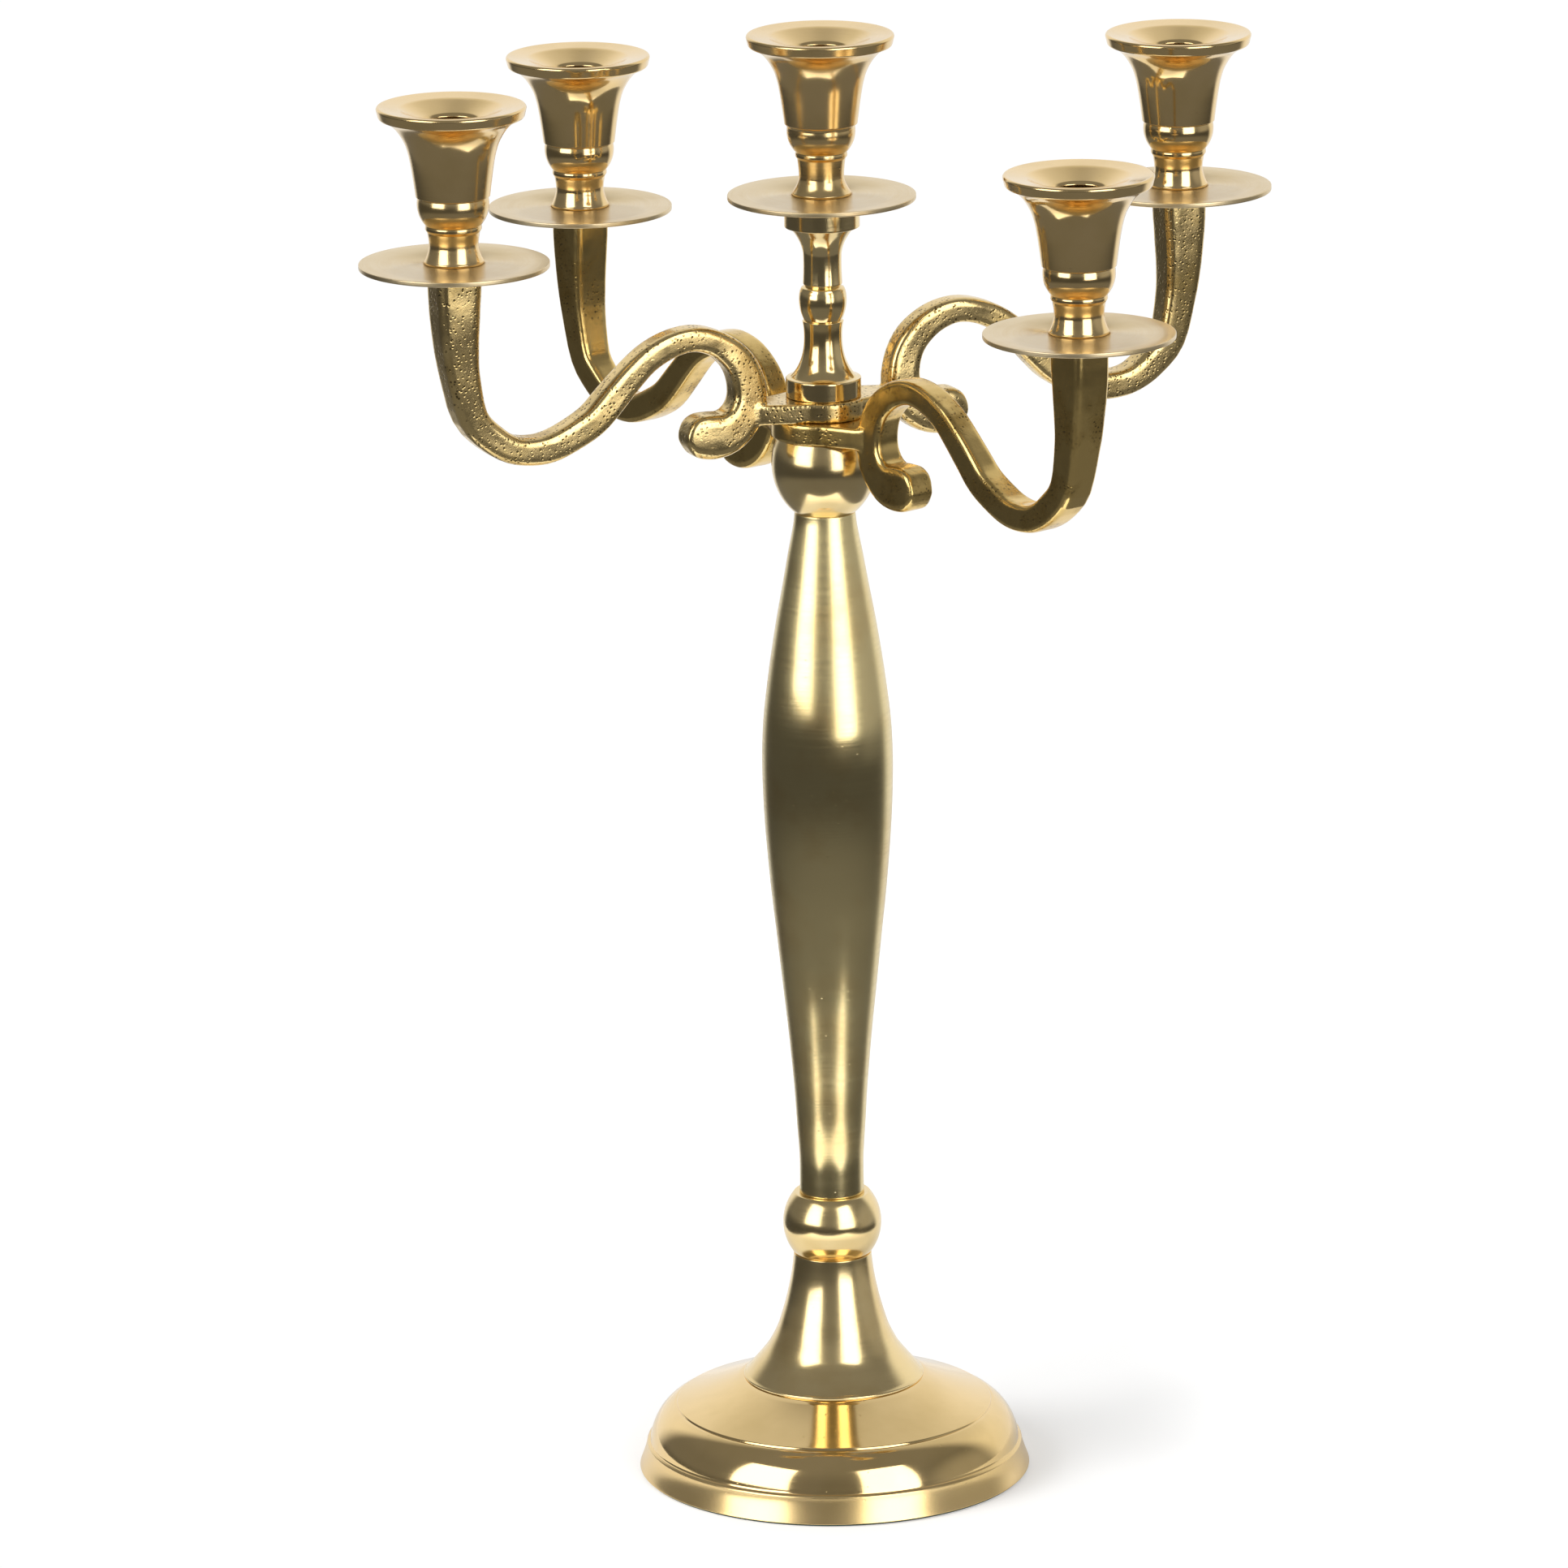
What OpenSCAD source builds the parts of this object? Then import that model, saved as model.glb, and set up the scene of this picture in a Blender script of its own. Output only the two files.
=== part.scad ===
// Five-light table candelabra: turned stem on a hollow foot, two double-arm castings that
// swivel on one tie rod, and five candle cups that unscrew. Z = 0 is the table top.

/* [Foot] */
// Diameter of the foot at the table
foot_d = 160.8; // [134:0.2:200]
// Height of the foot, from the table to the seat of the neck
foot_h = 39.2; // [32:0.2:50]
// Height of the plain band round the foot
band_h = 11.5; // [8:0.5:14]
// Wall of the hollow foot and of the hollow neck
foot_wall = 4; // [3:0.5:5]
// Thickness of the felt ring
felt_t = 0.8; // [0.5:0.1:1.5]
// Width of the felt ring
felt_w = 6; // [4:0.5:10]

/* [Stem] */
// Diameter of the neck where it sits on the foot
neck_base_d = 74; // [60:1:80]
// Diameter of the neck at its top
neck_top_d = 32; // [28:0.5:36]
// Height of the neck
neck_h = 52.8; // [40:0.2:80]
// Diameter of the lower knob, a ball
lower_knob_d = 40.4; // [38:0.2:48]
// Height of the lower knob between its two flats
lower_knob_h = 25.9; // [20:0.1:30]
// Height of the shaft
shaft_h = 286.6; // [200:0.2:420]
// Diameter of the shaft at its bottom
shaft_bottom_d = 26.3; // [22:0.1:32]
// Diameter of the shaft at its widest
shaft_belly_d = 53.3; // [42:0.1:64]
// Diameter of the shaft at its top
shaft_top_d = 24.6; // [20:0.1:30]
// Wall of the hollow shaft
shaft_wall = 4; // [3:0.5:6]
// Diameter of the upper knob
upper_knob_d = 42.8; // [38:0.2:52]
// Height of the upper knob between its two flats
upper_knob_h = 31.5; // [24:0.1:34]

/* [Arms] */
// Distance from the stem's axis to the axis of an arm's cup
arm_reach = 160; // [133:1:200]
// Direction of the upper casting's front arm, from +X
upper_azimuth = 205; // [190:1:215]
// Direction of the lower casting's front arm, from +X
lower_azimuth = 308.5; // [300:0.5:320]
// Thickness of the upper casting's hub
upper_hub_t = 8; // [6:0.1:10]
// Diameter of the upper casting's hub
upper_hub_d = 35; // [32:0.5:38]
// Thickness of the lower casting's hub
lower_hub_t = 8.5; // [6:0.1:10]
// Diameter of the lower casting's hub
lower_hub_d = 43; // [38:0.5:45]
// Height of an arm's cup seat above the foot of its scroll's back, where the upper hub joins
arm_rise = 76.6; // [63:0.2:92]
// How much higher on its scrolls the lower casting's hub joins
lower_hub_up = 9.5; // [6:0.5:12]
// Share of the casting's breadth that is used, 1 for the full breadth
arm_breadth = 1; // [0.8:0.05:1.1]

/* [Spindle] */
// Height of the spindle between the arms and the middle cup
spindle_h = 80.5; // [70:0.5:110]
// Diameter of the spindle's two discs
spindle_disc_d = 30.4; // [28:0.2:36]
// Diameter of the bead at the middle of the spindle
spindle_bead_d = 19.2; // [18:0.2:24]
// Diameter of the spindle at its two waists
spindle_waist_d = 15.4; // [14:0.2:18]

/* [Cups and drip pans] */
// Diameter of a cup's rim
rim_d = 59.4; // [52:0.2:72]
// Height of the band round the rim
rim_h = 4.4; // [3:0.2:6]
// Diameter of the candle bore
bore_d = 22.5; // [18:0.1:27]
// Depth of the candle bore below the funnel
bore_depth = 24; // [18:0.5:25]
// Depth of the funnel above the candle bore
funnel_h = 5.8; // [4:0.2:7]
// Height of the middle cup
middle_cup_h = 65.1; // [62:0.1:80]
// Height of an arm's cup
arm_cup_h = 63; // [62:0.1:80]
// Diameter of a drip pan
pan_d = 75.6; // [60:0.2:90]
// Thickness of a drip pan
pan_t = 1.9; // [1.2:0.1:3]

/* [Fasteners and fits] */
// Diameter of the tie rod
rod_d = 8; // [6:0.1:10]
// Diameter of the studs that hold the cups
stud_d = 8; // [6:0.1:10]
// Length of stud inside the seat under a cup, which is how far a cup rises as it unscrews
stud_in_seat = 7.5; // [6:0.5:9]
// Length of stud inside a cup
stud_in_cup = 11; // [8:0.5:12]
// Gap beside a rod or stud that turns or slides in its hole, and over the castings' hubs
running_gap = 0.05; // [0.02:0.01:0.1]
// Gap beside the rod where it only passes through
passing_gap = 0.4; // [0.3:0.1:0.6]

/* [Hidden] */

// Finishes
gold = "#cdb36b";
steel = "#9a9a9c";
felt = "#24382c";

// Heights of the faces where one piece sits on the next
neck_z = foot_h;
lower_knob_z = neck_z + neck_h;
shaft_z = lower_knob_z + lower_knob_h;
upper_knob_z = shaft_z + shaft_h;
lower_hub_z = upper_knob_z + upper_knob_h;
upper_hub_z = lower_hub_z + lower_hub_t;
spindle_z = upper_hub_z + upper_hub_t;
middle_seat_z = spindle_z + spindle_h;
lower_seat_z = lower_hub_z + arm_rise - lower_hub_up;
upper_seat_z = upper_hub_z + arm_rise;

// Holes
rod_r = rod_d / 2;
stud_r = stud_d / 2;
rod_fit_r = rod_r + running_gap;
rod_pass_r = rod_r + passing_gap;
stud_fit_r = stud_r + running_gap;
hole_spare = 2;

// Foot: ledge above the band, the two grooves, and the pad that the nut pulls on
foot_r = foot_d / 2;
ledge_r = foot_r - 3.1;
groove_r = foot_r - 15.7;
groove_w = 0.7;
foot_pad_r = 20;
foot_pad_h = 6;
land_w = felt_w + 1.5;
washer_r = 11;
washer_t = 1.6;
nut_flats = rod_d * 1.625;
nut_h = rod_d * 0.8;
rod_end = 3;
rod_low_z = foot_h - foot_wall - foot_pad_h - washer_t - nut_h - rod_end;
rod_in_spindle = 14;

// Facets round a turned piece, and steps along a curve of its outline
round_fn = 96;
steps = 10;

// Points of a cubic curve
function curve(a, b, c, d, n = steps) = [
  for (i = [0 : n]) let (t = i / n, s = 1 - t)
    a * s * s * s + b * 3 * s * s * t + c * 3 * s * t * t + d * t * t * t
];

// Points of an elliptical arc, centred on the axis, from angle a0 to a1
function bulge(cz, r, h, a0, a1, n = steps) = [
  for (i = [0 : n]) let (a = a0 + (a1 - a0) * i / n) [r * cos(a), cz + h * sin(a)]
];

// An outline moved inwards by w, for the inside of a shell whose outline runs upwards
function unit(v) = v / norm(v);
function inset(p, w) = [
  for (i = [0 : len(p) - 1])
    let (t = unit(p[min(i + 1, len(p) - 1)] - p[max(i - 1, 0)]))
      p[i] + w * [-t.y, t.x]
];

// A solid of revolution from an outline that starts and ends away from the axis
module turned(outline) {
  bottom = outline[0].y;
  top = outline[len(outline) - 1].y;
  rotate_extrude($fn = round_fn)
    polygon(concat([[0, bottom]], outline, [[0, top]]));
}

module hole(r, z, h) {
  translate([0, 0, z])
    cylinder(r = r, h = h, $fn = round_fn);
}

// ---- Foot ----

foot_band = curve([foot_r, felt_t], [foot_r - 0.8, 3], [ledge_r + 0.5, 7], [ledge_r, band_h]);
foot_shoulder = curve(
  [ledge_r - 2, band_h + 0.8], [ledge_r - 2.4, band_h + 6.5],
  [groove_r + 6, foot_h - 14.5], [groove_r + groove_w, foot_h - 11.8]
);
foot_dome = curve(
  [groove_r, foot_h - 11.3], [groove_r - 9, foot_h - 6.2],
  [neck_base_d / 2 + 9, foot_h - 2.2], [neck_base_d / 2, foot_h]
);
foot_outline = concat(
  foot_band,
  [[ledge_r - groove_w, band_h + 0.2], [ledge_r - groove_w, band_h + 0.8]],
  foot_shoulder,
  [[groove_r, foot_h - 12.2]],
  foot_dome
);
foot_inner_line = concat(
  inset(foot_band, land_w),
  inset(foot_shoulder, foot_wall),
  inset(foot_dome, foot_wall)
);

module foot() {
  color(gold)
    difference() {
      turned(foot_outline);
      difference() {
        turned(concat([[foot_r - land_w, -1]], foot_inner_line));
        hole(foot_pad_r, foot_h - foot_wall - foot_pad_h, foot_pad_h + foot_wall);
      }
      hole(rod_pass_r, 0, foot_h + 1);
    }
}

module felt_ring() {
  color(felt)
    difference() {
      hole(foot_r - 1, 0, felt_t);
      hole(foot_r - 1 - felt_w, -1, felt_t + 2);
    }
}

module foot_washer() {
  z = foot_h - foot_wall - foot_pad_h - washer_t;
  color(steel)
    difference() {
      hole(washer_r, z, washer_t);
      hole(rod_pass_r, z - 1, washer_t + 2);
    }
}

module foot_nut() {
  z = foot_h - foot_wall - foot_pad_h - washer_t - nut_h;
  color(steel)
    difference() {
      translate([0, 0, z])
        cylinder(d = nut_flats / cos(30), h = nut_h, $fn = 6);
      hole(rod_r, z - 1, nut_h + 2);
    }
}

module tie_rod() {
  color(steel)
    hole(rod_r, rod_low_z, spindle_z + rod_in_spindle - rod_low_z);
}

// ---- Stem ----

neck_flare = curve(
  [neck_base_d / 2, neck_z + 1], [neck_base_d / 2 - 8.5, neck_z + 4.5],
  [neck_top_d / 2 + 7, neck_z + 14], [neck_top_d / 2 + 3.6, neck_z + neck_h * 0.6]
);
neck_line = concat(
  neck_flare,
  [[neck_top_d / 2 + 1.2, neck_z + neck_h * 0.8], [neck_top_d / 2, neck_z + neck_h]]
);

module neck() {
  color(gold)
    difference() {
      turned(concat([[neck_base_d / 2, neck_z]], neck_line));
      turned(concat(
        [[neck_base_d / 2 - foot_wall, neck_z - 1]],
        inset(neck_flare, foot_wall)
      ));
      hole(rod_pass_r, neck_z, neck_h + 1);
    }
}

module ball(z, d, h) {
  edge = asin(h / d);
  turned(bulge(z + h / 2, d / 2, d / 2, -edge, edge, 2 * steps));
}

module lower_knob() {
  color(gold)
    difference() {
      ball(lower_knob_z, lower_knob_d, lower_knob_h);
      hole(rod_pass_r, lower_knob_z - 1, lower_knob_h + 2);
    }
}

belly_z = shaft_z + shaft_h * 0.642;
shaft_low = curve(
  [shaft_bottom_d / 2, shaft_z], [shaft_bottom_d / 2, shaft_z + shaft_h * 0.192],
  [shaft_belly_d / 2, shaft_z + shaft_h * 0.436], [shaft_belly_d / 2, belly_z], 2 * steps
);
shaft_high = curve(
  [shaft_belly_d / 2, belly_z], [shaft_belly_d / 2, shaft_z + shaft_h * 0.747],
  [(shaft_belly_d + shaft_top_d) / 4, shaft_z + shaft_h * 0.837],
  [shaft_top_d / 2, shaft_z + shaft_h], 2 * steps
);
shaft_plug = 14;

module shaft() {
  hollow = [
    for (p = inset(concat(shaft_low, shaft_high), shaft_wall))
      if (p.y > shaft_z + shaft_plug && p.y < shaft_z + shaft_h - shaft_plug) p
  ];
  color(gold)
    difference() {
      turned(concat(shaft_low, shaft_high));
      turned(hollow);
      hole(rod_pass_r, shaft_z - 1, shaft_h + 2);
    }
}

// The upper knob is an egg whose widest ring is above its middle
upper_knob_tall = upper_knob_h * 0.79;
upper_knob_mid = upper_knob_z + upper_knob_h * 0.65;
upper_knob_low_angle = -asin((upper_knob_mid - upper_knob_z) / upper_knob_tall);
upper_knob_high_angle = asin((lower_hub_z - upper_knob_mid) / upper_knob_tall);

module upper_knob() {
  color(gold)
    difference() {
      turned(bulge(
        upper_knob_mid, upper_knob_d / 2, upper_knob_tall,
        upper_knob_low_angle, upper_knob_high_angle, 2 * steps
      ));
      hole(rod_pass_r, upper_knob_z - 1, upper_knob_h + 2);
    }
}

// ---- Arms ----

// Stations of an arm, from the cup seat down through the bend and over the hump to the
// scroll: distance out from the stem, height below the seat, thickness, breadth.
drawn_reach = 160;
drawn_rise = 76.6;
scroll_reach = 62;
arm_stations = [
  [160, 0, 19, 17.5], [160.2, -11, 18.5, 17.5], [160.2, -22, 17, 17],
  [159.8, -33, 15.2, 16], [158.6, -44, 13.8, 15], [154.6, -61, 12.4, 13.6],
  [146.4, -70.2, 12, 13], [138, -75.6, 11.2, 12.8], [129.3, -77.4, 11.2, 12.6],
  [121, -76.8, 11.6, 12.4], [112.2, -73.6, 12, 12], [102, -68, 12, 11.6],
  [94.5, -60.8, 12, 11.2], [87.4, -53.6, 11.4, 11], [78.5, -45.8, 10.5, 11],
  [68.4, -40.8, 10.2, 11], [58.5, -39.2, 10.2, 11], [50, -41.2, 10.8, 11],
  [43.6, -45, 11.6, 11.2], [38, -50.8, 12.6, 11.6], [34.8, -58.4, 13.6, 12],
  [34.2, -66.8, 14.6, 12.4], [37.4, -74.2, 15.6, 13], [43.4, -78.8, 17, 13.4],
  [50, -79.8, 18.4, 13.4], [56, -79.2, 16.6, 12.4], [59.4, -78.8, 11, 9.4]
];
corner_share = 0.22;
rings_per_station = 3;
section_turn = 30;

// Beyond the scroll an arm stretches with the reach, and all of it with the rise
function stretched(r) = r < scroll_reach
  ? r
  : scroll_reach + (r - scroll_reach) * (arm_reach - scroll_reach) / (drawn_reach - scroll_reach);
function station(i) = let (s = arm_stations[max(0, min(len(arm_stations) - 1, i))])
  [stretched(s[0]), s[1] * arm_rise / drawn_rise, s[2], s[3] * arm_breadth];

// A smooth line through the stations
function spline(a, b, c, d, t) = 0.5 * (
  2 * b + (c - a) * t + (2 * a - 5 * b + 4 * c - d) * t * t
  + (3 * b - 3 * c + d - a) * t * t * t
);
arm_line = [
  for (i = [0 : len(arm_stations) - 2], k = [0 : rings_per_station - 1])
    spline(station(i - 1), station(i), station(i + 1), station(i + 2), k / rings_per_station),
  station(len(arm_stations) - 1)
];

// One ring of the casting: a rectangle of thickness x breadth with rounded corners
function ring(i) =
  let (
    p = arm_line[i],
    q = arm_line[min(i + 1, len(arm_line) - 1)] - arm_line[max(i - 1, 0)],
    t = i == 0 ? [0, -1] : unit([q[0], q[1]]),
    c = corner_share * min(p[2], p[3])
  ) [
    for (corner = [[1, 1], [-1, 1], [-1, -1], [1, -1]], k = [0 : 2])
      let (
        a = atan2(corner.y, corner.x) + (k - 1) * section_turn,
        u = corner.x * (p[2] / 2 - c) + c * cos(a) * sqrt(2),
        v = corner.y * (p[3] / 2 - c) + c * sin(a) * sqrt(2)
      ) [p[0] - t.y * u, v, p[1] + t.x * u]
  ];

module arm_casting(seat_z) {
  sides = 12;
  last = len(arm_line) - 1;
  points = [for (i = [0 : last], p = ring(i)) p + [0, 0, seat_z]];
  walls = [
    for (i = [0 : last - 1], k = [0 : sides - 1], half = [0, 1])
      let (a = i * sides + k, b = i * sides + (k + 1) % sides)
        half == 0 ? [a, b, b + sides] : [a, b + sides, a + sides]
  ];
  caps = [
    [for (k = [sides - 1 : -1 : 0]) k],
    [for (k = [0 : sides - 1]) last * sides + k]
  ];
  polyhedron(points, concat(walls, caps), convexity = 6);
}

// Two arms on one hub, with a hole for the tie rod and one at each seat for a stud
hub_neck_w = 12;
hub_neck_end = 33;

module double_arm(azimuth, hub_z, hub_t, hub_d, seat_z) {
  rotate([0, 0, azimuth])
    difference() {
      union() {
        for (side = [0, 180])
          rotate([0, 0, side])
            arm_casting(seat_z);
        hole(hub_d / 2, hub_z, hub_t);
        translate([0, 0, hub_z])
          linear_extrude(hub_t)
            polygon([
              [-hub_neck_end, -hub_neck_w / 2], [-5, 2 - hub_d / 2], [5, 2 - hub_d / 2],
              [hub_neck_end, -hub_neck_w / 2], [hub_neck_end, hub_neck_w / 2],
              [5, hub_d / 2 - 2], [-5, hub_d / 2 - 2], [-hub_neck_end, hub_neck_w / 2]
            ]);
      }
      hole(rod_fit_r, hub_z - 1, hub_t + 2);
      for (side = [-1, 1])
        translate([side * arm_reach, 0, 0])
          hole(stud_fit_r, seat_z - stud_in_seat - hole_spare, stud_in_seat + hole_spare + 1);
    }
}

module lower_arms() {
  color(gold)
    double_arm(lower_azimuth, lower_hub_z, lower_hub_t, lower_hub_d, lower_seat_z);
}

module upper_arms() {
  color(gold)
    double_arm(upper_azimuth, upper_hub_z, upper_hub_t - running_gap, upper_hub_d, upper_seat_z);
}

// ---- Spindle ----

low_disc_h = 8;
top_disc_h = 11.3;
bead_h = 13.2;
disc_r = spindle_disc_d / 2;
waist_r = spindle_waist_d / 2;
bead_r = spindle_bead_d / 2;
bead_z = spindle_z + spindle_h * 0.475;
bead_edge = asin(bead_h / 2 / bead_r * 0.92);
spindle_outline = concat(
  [[disc_r, spindle_z], [disc_r, spindle_z + low_disc_h]],
  curve(
    [disc_r - 1.6, spindle_z + low_disc_h], [disc_r - 5.2, spindle_z + low_disc_h + 3],
    [waist_r, spindle_z + 17], [waist_r, spindle_z + 25.5]
  ),
  [[waist_r + 0.8, bead_z - bead_h / 2 - 1.6], [waist_r + 0.8, bead_z - bead_h / 2 - 0.2]],
  bulge(bead_z, bead_r, bead_h / 2 / sin(bead_edge), -bead_edge, bead_edge),
  [[waist_r - 0.4, bead_z + bead_h / 2 + 0.6], [waist_r + 0.3, bead_z + bead_h / 2 + 1]],
  curve(
    [waist_r, middle_seat_z - top_disc_h - 16], [waist_r, middle_seat_z - top_disc_h - 8],
    [disc_r - 6, middle_seat_z - top_disc_h - 3], [disc_r - 2.4, middle_seat_z - top_disc_h]
  ),
  [[disc_r, middle_seat_z - top_disc_h], [disc_r, middle_seat_z]]
);

module spindle() {
  color(gold)
    difference() {
      turned(spindle_outline);
      hole(rod_r, spindle_z - 1, rod_in_spindle + hole_spare + 1);
      hole(stud_fit_r, middle_seat_z - stud_in_seat - hole_spare, stud_in_seat + hole_spare + 1);
    }
}

// ---- Cups, drip pans and studs ----

// A place on an arm's seat: azimuth of the arm, then out along it
module at_seat(azimuth, z) {
  rotate([0, 0, azimuth])
    translate([arm_reach, 0, z])
      children();
}

module pan() {
  r = pan_d / 2;
  edge = pan_t / 4;
  color(gold)
    difference() {
      turned([[r - edge, 0], [r, edge], [r, pan_t - edge], [r - edge, pan_t]]);
      hole(stud_r + passing_gap, -1, pan_t + 2);
    }
}

// Outline of a cup from its foot on the pan up to its rim
step_r = 14.6;
step_drop = 36;
function cup_outline(h, bulge_r, waist, foot) = concat(
  [[foot, 0], [foot, 0.8]],
  curve([foot - 0.3, 1], [waist + 0.4, 4], [waist, 6], [waist, 9]),
  [[waist + 1, h - 49.4], [waist + 1.3, h - 48.8], [waist + 1.3, h - 48]],
  curve(
    [waist + 1, h - 47.6], [bulge_r - 0.6, h - 44.6],
    [bulge_r + 0.2, h - 41], [bulge_r - 0.2, h - step_drop - 0.9]
  ),
  [[step_r, h - step_drop]],
  curve(
    [step_r, h - step_drop], [step_r + 2.6, h - 22],
    [rim_d / 2 - 9.7, h - 9.5], [rim_d / 2 - 3.1, h - rim_h - 0.8]
  ),
  [
    [rim_d / 2 - 1.2, h - rim_h - 0.2], [rim_d / 2 - 0.9, h - rim_h + 0.2],
    [rim_d / 2, h - 0.5], [rim_d / 2 - 0.6, h]
  ]
);

// The funnel narrows from the flat lip to the bore
lip_r = rim_d / 2 * 0.69;

module cup(h, bulge_r, waist, foot) {
  color(gold)
    difference() {
      turned(cup_outline(h, bulge_r, waist, foot));
      hole(bore_d / 2, h - funnel_h - bore_depth, bore_depth + funnel_h + 1);
      translate([0, 0, h - funnel_h])
        cylinder(r1 = bore_d / 2 + 1, r2 = lip_r, h = funnel_h, $fn = round_fn);
      hole(stud_r, -1, stud_in_cup + hole_spare + 1);
    }
}

module middle_cup() {
  cup(middle_cup_h, 13.9, 9.1, 11.9);
}

module arm_cup() {
  cup(arm_cup_h, 14.3, 9.8, 12);
}

module stud() {
  color(steel)
    hole(stud_r, -stud_in_seat, stud_in_seat + pan_t + stud_in_cup);
}

module drip_pan_middle() { translate([0, 0, middle_seat_z]) pan(); }
module drip_pan_front_left() { at_seat(upper_azimuth, upper_seat_z) pan(); }
module drip_pan_back_right() { at_seat(upper_azimuth + 180, upper_seat_z) pan(); }
module drip_pan_front_right() { at_seat(lower_azimuth, lower_seat_z) pan(); }
module drip_pan_back_left() { at_seat(lower_azimuth + 180, lower_seat_z) pan(); }

module cup_middle() { translate([0, 0, middle_seat_z + pan_t]) middle_cup(); }
module cup_front_left() { at_seat(upper_azimuth, upper_seat_z + pan_t) arm_cup(); }
module cup_back_right() { at_seat(upper_azimuth + 180, upper_seat_z + pan_t) arm_cup(); }
module cup_front_right() { at_seat(lower_azimuth, lower_seat_z + pan_t) arm_cup(); }
module cup_back_left() { at_seat(lower_azimuth + 180, lower_seat_z + pan_t) arm_cup(); }

module stud_middle() { translate([0, 0, middle_seat_z]) stud(); }
module stud_front_left() { at_seat(upper_azimuth, upper_seat_z) stud(); }
module stud_back_right() { at_seat(upper_azimuth + 180, upper_seat_z) stud(); }
module stud_front_right() { at_seat(lower_azimuth, lower_seat_z) stud(); }
module stud_back_left() { at_seat(lower_azimuth + 180, lower_seat_z) stud(); }

foot();
felt_ring();
foot_washer();
foot_nut();
tie_rod();
neck();
lower_knob();
shaft();
upper_knob();
lower_arms();
upper_arms();
spindle();
drip_pan_middle();
drip_pan_front_left();
drip_pan_back_right();
drip_pan_front_right();
drip_pan_back_left();
cup_middle();
cup_front_left();
cup_back_right();
cup_front_right();
cup_back_left();
stud_middle();
stud_front_left();
stud_back_right();
stud_front_right();
stud_back_left();
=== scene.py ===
"""A table candelabra in turned and cast brass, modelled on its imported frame.

Lengths in this file are millimetres unless a name ends in _m, and MM turns them to metres.
"""

import logging
import math
from dataclasses import dataclass, field
from enum import Enum

import bpy
from mathutils import Matrix


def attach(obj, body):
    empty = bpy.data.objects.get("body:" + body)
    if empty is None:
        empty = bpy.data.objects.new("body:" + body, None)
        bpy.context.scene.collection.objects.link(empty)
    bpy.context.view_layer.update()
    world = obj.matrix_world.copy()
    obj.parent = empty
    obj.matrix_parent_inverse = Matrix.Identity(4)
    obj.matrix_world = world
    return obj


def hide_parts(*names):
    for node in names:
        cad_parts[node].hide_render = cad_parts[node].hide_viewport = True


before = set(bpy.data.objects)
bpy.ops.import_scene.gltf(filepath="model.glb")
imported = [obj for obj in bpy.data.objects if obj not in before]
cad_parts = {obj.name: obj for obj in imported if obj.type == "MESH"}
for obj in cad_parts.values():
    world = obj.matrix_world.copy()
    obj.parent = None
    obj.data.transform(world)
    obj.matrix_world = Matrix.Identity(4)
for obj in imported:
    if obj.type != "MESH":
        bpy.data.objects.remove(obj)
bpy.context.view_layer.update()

log = logging.getLogger("candelabra")

MM = 0.001
TURNING_STEPS = 144

# Directions of the castings' first arms, in degrees, and heights that pieces share.
LOWER_ARMS_DEG = 308.5
UPPER_ARMS_DEG = 205.0
REACH = 160.0
LOWER_SEAT = 503.1
UPPER_SEAT = 521.1
MIDDLE_SEAT = 533.0
UPPER_KNOB_TOP = 436.0

Point = tuple[float, float]
Piece = bpy.types.Object
Material = bpy.types.Material
Tree = bpy.types.NodeTree


# ---- Helpers ----


def linear(hex_colour: str) -> tuple[float, float, float, float]:
    """Turns an sRGB hex colour into linear red, green, blue and alpha.

    Args:
        hex_colour: a colour such as "#F0DBA6".

    Returns:
        The four linear values that a shader socket takes.
    """
    channels = [int(hex_colour[i : i + 2], 16) / 255 for i in (1, 3, 5)]
    red, green, blue = (
        c / 12.92 if c <= 0.04045 else ((c + 0.055) / 1.055) ** 2.4 for c in channels
    )
    return (red, green, blue, 1.0)


def per_metre(spacing_mm: float) -> float:
    """Gives the texture scale at which a pattern repeats every spacing_mm."""
    return 1 / (spacing_mm * MM)


def add_node(
    tree: Tree,
    kind: str,
    values: dict | None = None,
    links: dict | None = None,
    **settings: object,
) -> bpy.types.Node:
    """Adds one node with its settings, its constants and its links.

    Args:
        tree: the node tree it goes into.
        kind: the node's type, without ShaderNode before it.
        values: constants by input name or number.
        links: sockets, or nodes for their first output, by input name or number.
        settings: properties of the node itself.

    Returns:
        The new node.
    """
    node = tree.nodes.new("ShaderNode" + kind)
    for name, value in settings.items():
        setattr(node, name, value)
    for key, value in (values or {}).items():
        node.inputs[key].default_value = value
    for key, source in (links or {}).items():
        socket = source.outputs[0] if isinstance(source, bpy.types.Node) else source
        tree.links.new(socket, node.inputs[key])
    return node


def start_clean() -> None:
    """Leaves edit mode and deselects everything."""
    if bpy.context.object and bpy.context.object.mode != "OBJECT":
        bpy.ops.object.mode_set(mode="OBJECT")
    bpy.ops.object.select_all(action="DESELECT")


def make_active(piece: Piece) -> None:
    """Selects one piece alone and makes it the active one."""
    start_clean()
    piece.select_set(True)
    bpy.context.view_layer.objects.active = piece


def apply_modifier(piece: Piece, kind: str, **settings: object) -> None:
    """Adds a modifier to a piece, sets it up and applies it.

    Args:
        piece: the piece that is finished.
        kind: the modifier's type.
        settings: properties of the modifier.
    """
    make_active(piece)
    modifier = piece.modifiers.new(kind.lower(), kind)
    for name, value in settings.items():
        setattr(modifier, name, value)
    bpy.ops.object.modifier_apply(modifier=modifier.name)


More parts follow.
